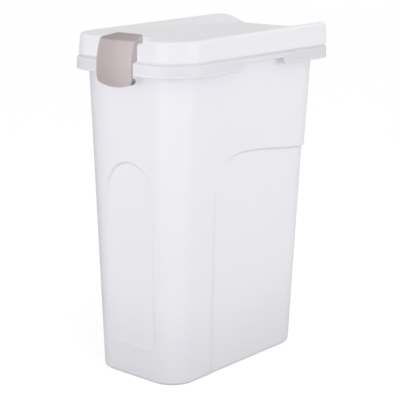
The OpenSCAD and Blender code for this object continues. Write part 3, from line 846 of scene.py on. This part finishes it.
lidFront, lidAround, lidRear = makeLidColumns()
lidColumns = lidFront + lidAround + lidRear


def lidRing(outline, drop):
    places = [lidPlace(outline, column) for column in lidColumns]
    return mirrored([(x, y, lidSurface(x, y) - drop) for x, y in places])


def lidLevelRing(outline, z):
    return mirrored([(*lidPlace(outline, column), z) for column in lidColumns])


def makeLidRings():
    wall, taper, rounding = lid["wall"], lid["taper"], lid["edgeRound"]
    plugZ = rimZ - lid["plugDrop"]
    plugOut = grow(tubOutline(plugZ), -tub["wall"] - lid["sealSpace"])
    plugIn = grow(plugOut, -lid["plugWall"])
    landOut = grow(plugOut, lid["landReach"])
    landZ = plugZ + lid["landHeight"]
    plugInset = lidEdge[0] - plugIn[0]
    insets = [inset for inset in underInsets if inset > plugInset + 2] + [plugInset + 3]

    # offsets under a millimetre round off the small edges
    rings = [lidRing(grow(lidEdge, -inset), wall) for inset in insets]
    rings += [  # plug ring with the land that the seal rests on
        lidRing(plugIn, wall),
        lidLevelRing(plugIn, plugZ + 0.4),
        lidLevelRing(grow(plugIn, 0.4), plugZ),
        lidLevelRing(grow(landOut, -0.4), plugZ),
        lidLevelRing(landOut, plugZ + 0.4),
        lidLevelRing(landOut, landZ),
        lidLevelRing(plugOut, landZ),
        lidRing(plugOut, wall),
    ]
    corner = rounding - wall
    rings.append(lidRing(grow(lidEdge, -taper - wall - rounding), wall))
    for angle in steps(90, 0, lidMesh["underCorner"]):
        a = math.radians(angle)
        inset = taper + wall + corner * (1 - math.cos(a))
        rings.append(lidRing(grow(lidEdge, -inset), wall + corner * (1 - math.sin(a))))
    rings += [
        lidLevelRing(grow(lidEdge, -wall), lidZ + 0.3),
        lidLevelRing(grow(lidEdge, -wall + 0.3), lidZ),
        lidLevelRing(grow(lidEdge, -0.6), lidZ),
        lidLevelRing(grow(lidEdge, -0.15), lidZ + 0.2),
        lidLevelRing(lidEdge, lidZ + 0.7),
    ]
    for angle in steps(0, 90, lidMesh["edgeRows"]):
        a = math.radians(angle)
        inset = taper + rounding * (1 - math.cos(a))
        rings.append(lidRing(grow(lidEdge, -inset), rounding * (1 - math.sin(a))))
    rings += [lidRing(grow(lidEdge, -inset), 0) for inset in topInsets]
    return rings


halfCorner = lidMesh["cornerColumns"] // 2
frontFan, rearFan = len(lidFront) + halfCorner - 1, len(lidColumns) - len(lidRear) - halfCorner
lidShell = addLoft("lidShell", makeLidRings(), "lid", frontFan, rearFan)
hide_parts("lid")


def makeLidKnuckles():
    wallY = lidEdge[2] - lid["wall"] / 2
    outline = arc(lidAxis, hinge["knuckleRadius"], -90, 90, hinge["arcSteps"])
    outline += [
        (wallY - lid["taper"] * hinge["knuckleLean"], lidAxis[1] + hinge["knuckleRadius"]),
        (wallY, lidZ + hinge["knuckleFoot"]),
        (lidAxis[0] - hinge["knuckleHeel"], lidZ + hinge["knuckleFoot"]),
    ]
    width = hinge["knuckleWidth"]
    starts = [side * hinge["apart"] - width / 2 for side in (-1, 1)]
    return addPlates("lidKnuckles", outline, starts, width, "lid", hinge["knuckleSoftness"])


lidKnuckles = makeLidKnuckles()
print("lid made")


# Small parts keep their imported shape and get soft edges.
def softenNode(name, width, segments):
    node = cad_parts[name]
    weld = node.modifiers.new("weld", "WELD")
    weld.merge_threshold = 0.01 * mm
    flats = node.modifiers.new("flats", "DECIMATE")
    flats.decimate_type = "DISSOLVE"
    flats.angle_limit = math.radians(edgeTurns["flats"])
    for polygon in node.data.polygons:
        polygon.use_smooth = True
    softenEdges(node, width, segments, edgeTurns["nodes"])


cheekBack = {
    "overlap": 0.8,
    "solidTop": 0.2,
    "collarTop": 0.9,
    "solidDrop": 1.0,
    "collarDrop": 2.4,
    "thinner": 0.2,
    "inset": 0.05,
    "softness": 0.3,
}


# The collar stands less far out here than in the solids, so the cheeks reach back to it.
def makeCheekBacks():
    solidY = collar[1] - tub["bead"] - clip["clear"] - cheekBack["overlap"]
    collarY = skirt[1] - tub["bead"] - clip["clear"]
    low = skirtZ - clip["clear"]
    outline = [
        (solidY, flangeZ + cheekBack["solidTop"]),
        (collarY, flangeZ + cheekBack["collarTop"]),
        (collarY, low - cheekBack["collarDrop"]),
        (solidY, low - cheekBack["solidDrop"]),
    ]
    thick = clip["cheek"] - cheekBack["thinner"]
    outer = clip["width"] / 2 - cheekBack["inset"]
    return addPlates("clipCheekBacks", outline, [-outer, outer - thick], thick, "clip", cheekBack["softness"])


softenNode("clip", clip["softness"], clip["softSegments"])
cheekBacks = makeCheekBacks()
print("clip made")


# The detail and roughness of the noises that all the plastics share.
noiseLooks = {"drift": (3.0, 0.5), "grain": (5.0, 0.6), "waves": (2.0, 0.5)}
noiseLow, noiseHigh = 0.3, 0.7  # the part of a noise that is in use


def addNoise(tree, kind, scale):
    place = tree.nodes.new("ShaderNodeTexCoord")
    noise = tree.nodes.new("ShaderNodeTexNoise")
    noise.inputs["Scale"].default_value = scale
    noise.inputs["Detail"].default_value = noiseLooks[kind][0]
    noise.inputs["Roughness"].default_value = noiseLooks[kind][1]
    tree.links.new(place.outputs["Object"], noise.inputs["Vector"])
    return noise.outputs["Fac"]


# A source between start and end gives a value between low and high.
def addRange(tree, source, start, end, low, high, kind="LINEAR"):
    spread = tree.nodes.new("ShaderNodeMapRange")
    spread.interpolation_type = kind
    ends = {"From Min": start, "From Max": end, "To Min": low, "To Max": high}
    for name, value in ends.items():
        spread.inputs[name].default_value = value
    tree.links.new(source, spread.inputs["Value"])
    return spread.outputs["Result"]


def addAxisRange(tree, output, axis, start, end, low, high, kind="SMOOTHSTEP"):
    place = tree.nodes.new("ShaderNodeTexCoord")
    apart = tree.nodes.new("ShaderNodeSeparateXYZ")
    tree.links.new(place.outputs[output], apart.inputs["Vector"])
    return addRange(tree, apart.outputs[axis], start, end, low, high, kind)


def addProduct(tree, first, *others):
    for other in others:
        product = tree.nodes.new("ShaderNodeVectorMath")
        product.operation = "MULTIPLY"
        for source, target in ((first, product.inputs[0]), (other, product.inputs[1])):
            if isinstance(source, tuple):
                target.default_value = source
            else:
                tree.links.new(source, target)
        first = product.outputs["Vector"]
    return first


def addBlend(tree, share, first, second):
    blend = tree.nodes.new("ShaderNodeMix")
    tree.links.new(share, blend.inputs["Factor"])
    for source, target in ((first, blend.inputs["A"]), (second, blend.inputs["B"])):
        if isinstance(source, float):
            target.default_value = source
        else:
            tree.links.new(source, target)
    return blend.outputs["Result"]


def addMark(tree, name):
    mark = tree.nodes.new("ShaderNodeAttribute")
    mark.attribute_name = name
    return mark.outputs["Fac"]


# A range of painted shade is what it follows, its axis, where it starts and ends, and its values there.
tubShadeRanges = {
    "base": ("Object", "Z", 0.0, 0.17, 0.91, 1.0),
    "aboveBase": ("Object", "Z", 0.04, 0.13, 0.0, 1.0),
    "nearFront": ("Object", "Y", -0.17, -0.07, 1.0, 0.0),
    "turnedLeft": ("Normal", "X", -0.6, -0.1, 0.93, 1.0),
    "leftSide": ("Object", "X", -0.08, -0.035, 0.92, 1.0),
    "collarAcross": ("Object", "X", -0.05, 0.06, 0.84, 0.92),
    "collarAside": ("Object", "X", 0.06, 0.13, 1.0, 0.94),
    "collarAlong": ("Object", "Y", -0.2, 0.16, 1.0, 0.93),
}
# The painted shade along the steps at its darkest.
stepShadeTone = 0.91


# Painted shade: the tub is a little darker at its base, its front left corner and its marked steps and
# collar.
def tubPaintedShade(tree):
    tones = {name: addAxisRange(tree, *paintedLight) for name, paintedLight in tubShadeRanges.items()}
    leftCorner = addProduct(tree, tones["turnedLeft"], tones["leftSide"])
    cornerShare = addProduct(tree, tones["aboveBase"], tones["nearFront"])
    corner = addBlend(tree, cornerShare, 1.0, leftCorner)
    step = addBlend(tree, addMark(tree, "step"), 1.0, stepShadeTone)
    wallTone = addProduct(tree, tones["base"], corner, step)
    collarTone = addProduct(tree, tones["collarAcross"], tones["collarAside"], tones["collarAlong"])
    return addBlend(tree, addMark(tree, "collar"), wallTone, collarTone)


# Ranges of painted highlight and painted shade on the clip.
clipLightRanges = {
    "face": ("Normal", "Y", -0.93, -0.6, 1.0, 0.7),
    "cheek": ("Normal", "X", 0.5, 0.9, 1.0, 1.2),
    "across": ("Object", "X", -0.03, 0.04, 0.92, 1.13),
    "behindFace": ("Object", "Y", -0.232, -0.229, 0.0, 1.0),
    "foot": ("Object", "Z", 0.532, 0.54, 0.45, 1.0),
}


# Painted light on the clip: a painted highlight on its face towards the right and on its right cheek, painted
# shade on its tongue and on its foot.
def clipPaintedLight(tree):
    tones = {name: addAxisRange(tree, *paintedLight) for name, paintedLight in clipLightRanges.items()}
    foot = addBlend(tree, tones["behindFace"], 1.0, tones["foot"])
    return addProduct(tree, tones["face"], tones["across"], tones["cheek"], foot)


# The plastics' emission is a painted glow that stands in for light coming through their walls.
throughColour = (0.93, 0.92, 1.0)  # of the light that comes through a wall
polishSpread = 0.04
waveHeight = 1.0 * mm
grainHeight = 0.1 * mm


def mouldedPlastic(name, look):
    material = bpy.data.materials.new(name)
    material.use_nodes = True
    tree = material.node_tree
    shader = tree.nodes["Principled BSDF"]

    # a slow drift of tone, as the melt leaves in a moulding
    drift = tree.nodes.new("ShaderNodeValToRGB")
    drift.color_ramp.elements[0].position = noiseLow
    drift.color_ramp.elements[0].color = (*look["darkColour"], 1)
    drift.color_ramp.elements[1].position = noiseHigh
    drift.color_ramp.elements[1].color = (*look["lightColour"], 1)
    tree.links.new(addNoise(tree, "drift", look["driftScale"]), drift.inputs["Fac"])
    colour = drift.outputs["Color"]
    # a painted glow stands in for light through the wall, and the look's painted light lightens or darkens
    # both colour and glow
    shader.inputs["Emission Color"].default_value = (*throughColour, 1)
    if look["paintedLight"]:
        paintedLight = look["paintedLight"](tree)
        colour = addProduct(tree, colour, paintedLight)
        tree.links.new(addProduct(tree, throughColour, paintedLight), shader.inputs["Emission Color"])
    tree.links.new(colour, shader.inputs["Base Color"])

    # fine grain of the mould, with slow waves of the surface under it
    grain = addNoise(tree, "grain", look["grainScale"])
    waves = addNoise(tree, "waves", look["waveScale"])
    low, high = look["roughness"] - polishSpread, look["roughness"] + polishSpread
    tree.links.new(addRange(tree, grain, noiseLow, noiseHigh, low, high), shader.inputs["Roughness"])
    under = tree.nodes.new("ShaderNodeBump")
    under.inputs["Strength"].default_value = look["waveStrength"]
    under.inputs["Distance"].default_value = waveHeight
    tree.links.new(waves, under.inputs["Height"])
    bump = tree.nodes.new("ShaderNodeBump")
    bump.inputs["Strength"].default_value = look["grainStrength"]
    bump.inputs["Distance"].default_value = grainHeight
    tree.links.new(grain, bump.inputs["Height"])
    tree.links.new(under.outputs["Normal"], bump.inputs["Normal"])
    tree.links.new(bump.outputs["Normal"], shader.inputs["Normal"])

    shader.inputs["IOR"].default_value = look["ior"]
    shader.inputs["Subsurface Weight"].default_value = look["glow"]
    shader.inputs["Subsurface Radius"].default_value = (1.0, 1.0, 1.0)
    shader.inputs["Subsurface Scale"].default_value = look["glowDepth"]
    shader.inputs["Transmission Weight"].default_value = look["clear"]
    shader.inputs["Emission Strength"].default_value = look["through"]
    return material


plasticLooks = {
    "milkyPlastic": {
        "lightColour": (0.90, 0.89, 0.93),
        "darkColour": (0.89, 0.88, 0.92),
        "driftScale": 9.0,
        "grainScale": 900.0,
        "grainStrength": 0.2,
        "waveScale": 14.0,
        "waveStrength": 0.1,
        "roughness": 0.42,
        "ior": 1.49,
        "glow": 0.3,
        "glowDepth": 0.002,
        "clear": 0.0,
        "through": 0.12,
        "paintedLight": tubPaintedShade,
    },
    "whitePlastic": {
        "lightColour": (0.92, 0.91, 0.945),
        "darkColour": (0.91, 0.90, 0.935),
        "driftScale": 8.0,
        "grainScale": 1100.0,
        "grainStrength": 0.15,
        "waveScale": 12.0,
        "waveStrength": 0.06,
        "roughness": 0.36,
        "ior": 1.49,
        "glow": 0.3,
        "glowDepth": 0.002,
        "clear": 0.0,
        "through": 0.06,
        "paintedLight": None,
    },
    "taupePlastic": {
        "lightColour": (0.63, 0.55, 0.565),
        "darkColour": (0.60, 0.52, 0.535),
        "driftScale": 36.0,
        "grainScale": 1400.0,
        "grainStrength": 0.2,
        "waveScale": 40.0,
        "waveStrength": 0.05,
        "roughness": 0.38,
        "ior": 1.49,
        "glow": 0.1,
        "glowDepth": 0.002,
        "clear": 0.0,
        "through": 0.0,
        "paintedLight": clipPaintedLight,
    },
    "softRubber": {
        "lightColour": (0.52, 0.52, 0.53),
        "darkColour": (0.47, 0.47, 0.48),
        "driftScale": 40.0,
        "grainScale": 1500.0,
        "grainStrength": 0.4,
        "waveScale": 60.0,
        "waveStrength": 0.1,
        "roughness": 0.62,
        "ior": 1.52,
        "glow": 0.0,
        "glowDepth": 0.001,
        "clear": 0.0,
        "through": 0.0,
        "paintedLight": None,
    },
    "pinPlastic": {
        "lightColour": (0.72, 0.72, 0.74),
        "darkColour": (0.68, 0.68, 0.70),
        "driftScale": 60.0,
        "grainScale": 1500.0,
        "grainStrength": 0.15,
        "waveScale": 60.0,
        "waveStrength": 0.05,
        "roughness": 0.4,
        "ior": 1.49,
        "glow": 0.05,
        "glowDepth": 0.002,
        "clear": 0.1,
        "through": 0.0,
        "paintedLight": None,
    },
}
plastics = {name: mouldedPlastic(name, look) for name, look in plasticLooks.items()}


def dressNode(name, plastic):
    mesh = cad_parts[name].data
    for i in range(len(mesh.materials)):
        mesh.materials[i] = plastics[plastic]
    if not mesh.materials:
        mesh.materials.append(plastics[plastic])


for piece in (tubShell, hingeEars, clipGussets):
    piece.data.materials.append(plastics["milkyPlastic"])
for piece in (lidShell, lidKnuckles):
    piece.data.materials.append(plastics["whitePlastic"])
cheekBacks.data.materials.append(plastics["taupePlastic"])
dressNode("tub", "milkyPlastic")
dressNode("lid", "whitePlastic")
dressNode("lid_seal", "softRubber")
dressNode("clip", "taupePlastic")
dressNode("clip_pin", "taupePlastic")
dressNode("hinge_pin_left", "pinPlastic")
dressNode("hinge_pin_right", "pinPlastic")
print("plastics made")


studio = {
    "floorSize": 12.0,
    "floorTone": 0.33,
    "floorShown": 0.8,
    "floorGlow": 0.42,
    "floorRoughness": 0.9,
    "floorSheen": 0.1,
    "worldSides": 0.92,
    "worldTop": 0.70,
    "worldLeft": 0.66,
    "worldLeftEnd": 0.0,
    "lampAim": 0.5,
    "lamps": {
        "frontSoftbox": {"azimuth": -4, "height": 0.5, "distance": 1.2, "size": 0.8, "power": 3.2},
        "sideSoftbox": {"azimuth": 92, "height": 0.5, "distance": 1.2, "size": 0.8, "power": 3.3},
    },
}


def addLamp(name, look):
    data = bpy.data.lights.new(name, "AREA")
    data.shape = "DISK"
    data.size = look["size"]
    data.energy = look["power"]
    lamp = bpy.data.objects.new(name, data)
    turn = math.radians(look["azimuth"])
    lamp.location = (
        look["distance"] * math.sin(turn),
        -look["distance"] * math.cos(turn),
        look["height"],
    )
    back = lamp.location - Vector((0, 0, studio["lampAim"]))
    lamp.rotation_euler = back.to_track_quat("Z", "Y").to_euler()
    bpy.context.scene.collection.objects.link(lamp)


def addCameraRay(tree):
    return tree.nodes.new("ShaderNodeLightPath").outputs["Is Camera Ray"]


# The camera sees plain white, and the object is lit more from the sides than from above.
def makeWorld():
    world = bpy.data.worlds.new("studioWorld")
    world.use_nodes = True
    tree = world.node_tree
    background = tree.nodes["Background"]
    background.inputs["Color"].default_value = (1, 1, 1, 1)
    sides, top, left = studio["worldSides"], studio["worldTop"], studio["worldLeft"]
    overhead = addAxisRange(tree, "Generated", "Z", 0.0, 1.0, sides, top, "LINEAR")
    leftward = addAxisRange(tree, "Generated", "X", -1.0, studio["worldLeftEnd"], left, 1.0, "LINEAR")
    strength = addBlend(tree, addCameraRay(tree), addProduct(tree, overhead, leftward), 1.0)
    tree.links.new(strength, background.inputs["Strength"])
    bpy.context.scene.world = world


# The floor shows white to the camera but for the object's shadow on it.
def makeFloor():
    size = studio["floorSize"] / 2
    corners = [(-size, -size, 0), (size, -size, 0), (size, size, 0), (-size, size, 0)]
    mesh = bpy.data.meshes.new("studioFloor")
    mesh.from_pydata(corners, [], [(0, 1, 2, 3)])
    floor = bpy.data.objects.new("studioFloor", mesh)
    bpy.context.scene.collection.objects.link(floor)
    material = bpy.data.materials.new("studioFloor")
    material.use_nodes = True
    tree = material.node_tree
    shader = tree.nodes["Principled BSDF"]
    shader.inputs["Roughness"].default_value = studio["floorRoughness"]
    shader.inputs["Specular IOR Level"].default_value = studio["floorSheen"]
    shader.inputs["Emission Color"].default_value = (1, 1, 1, 1)
    seen = addCameraRay(tree)
    shown = addRange(tree, seen, 0.0, 1.0, studio["floorTone"], studio["floorShown"])
    glow = addRange(tree, seen, 0.0, 1.0, 0.0, studio["floorGlow"])
    tree.links.new(shown, shader.inputs["Base Color"])
    tree.links.new(glow, shader.inputs["Emission Strength"])
    mesh.materials.append(material)
    floor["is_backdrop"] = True


bpy.context.scene.view_settings.view_transform = "Standard"
makeWorld()
makeFloor()
for name, look in studio["lamps"].items():
    addLamp(name, look)
# the photograph shows no shadow of the clip on the lid and the tub
for piece in (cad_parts["clip"], cheekBacks):
    piece.visible_shadow = False
    piece.visible_diffuse = False
print("studio made")


# Where a point of the scene shows in the photograph's frame.
def onImage(point):
    local = camera.matrix_world.inverted() @ point
    longSide = max(photoWidth, photoHeight)
    scale = longSide * cameraSettings["lens"] / cameraSettings["sensorWidth"] / -local.z
    x = photoWidth / 2 - cameraSettings["shiftX"] * longSide + local.x * scale
    y = photoHeight / 2 + cameraSettings["shiftY"] * longSide - local.y * scale
    return x, y


surfaceSlack = 0.002  # metres in front of a vertex that can't hide it


# The finished vertices of the pieces that the camera sees.
def shownVertices(pieces):
    depsgraph = bpy.context.evaluated_depsgraph_get()
    eye = camera.matrix_world.translation
    trees, found = [], {}
    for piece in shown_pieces():
        shown = piece.evaluated_get(depsgraph)
        mesh = shown.to_mesh()
        corners = [shown.matrix_world @ v.co for v in mesh.vertices]
        trees.append(BVHTree.FromPolygons(corners, [list(p.vertices) for p in mesh.polygons]))
        found[piece.name] = corners
        shown.to_mesh_clear()
    result = {}
    for name in pieces:
        result[name] = []
        for corner in found[name]:
            ray = corner - eye
            reach = ray.length - surfaceSlack
            if all(t.ray_cast(eye, ray.normalized(), reach)[0] is None for t in trees):
                result[name].append(corner)
    return result


shoulderSpot = 230  # height on the side recess's upright edge


# Where each image point's feature shows in the photograph's frame.
def measurePoints():
    shown = shownVertices(["tubShell", "lidShell", "clip"])
    seen = {name: [onImage(corner) for corner in corners] for name, corners in shown.items()}
    whole = [p for places in seen.values() for p in places]

    def wallSpot(wall, s, z):
        return onImage(toFrame(wallPoint((wall, s, 0), z, 0)))

    def nearest(name, point):
        return min(seen[name], key=lambda p: math.hypot(p[0] - point[0], p[1] - point[1]))

    footCorner = tub["archHalf"] - tub["archFootRadius"]
    holdX, holdZ = skirt[0] + tub["bead"], skirtZ + tub["handHoldHeight"]
    places = {
        "objectLeft": min(whole),
        "objectRight": max(whole),
        "objectTop": min(whole, key=lambda p: p[1]),
        "objectBottom": max(whole, key=lambda p: p[1]),
        "clipTopCorner": nearest("clip", imagePoints["clipTopCorner"]),
        "clipTongueRear": max(seen["clip"]),
        "clipBottom": max(seen["clip"], key=lambda p: p[1]),
        "collarRearCorner": nearest("tubShell", imagePoints["collarRearCorner"]),
        "archTop": wallSpot("front", 0, tub["archHeight"] + tub["archHalf"]),
        "archFoot": wallSpot("front", footCorner, tub["archFoot"]),
        "shoulderFront": wallSpot("side", -tub["shoulderY"], shoulderSpot),
        "handHoldFront": onImage(toFrame((holdX, handHoldFront, holdZ))),
        "handHoldRear": onImage(toFrame((holdX, handHoldRear, holdZ))),
        "baseFrontLeft": nearest("tubShell", imagePoints["baseFrontLeft"]),
        "baseRearRight": nearest("tubShell", imagePoints["baseRearRight"]),
    }


measurePoints()
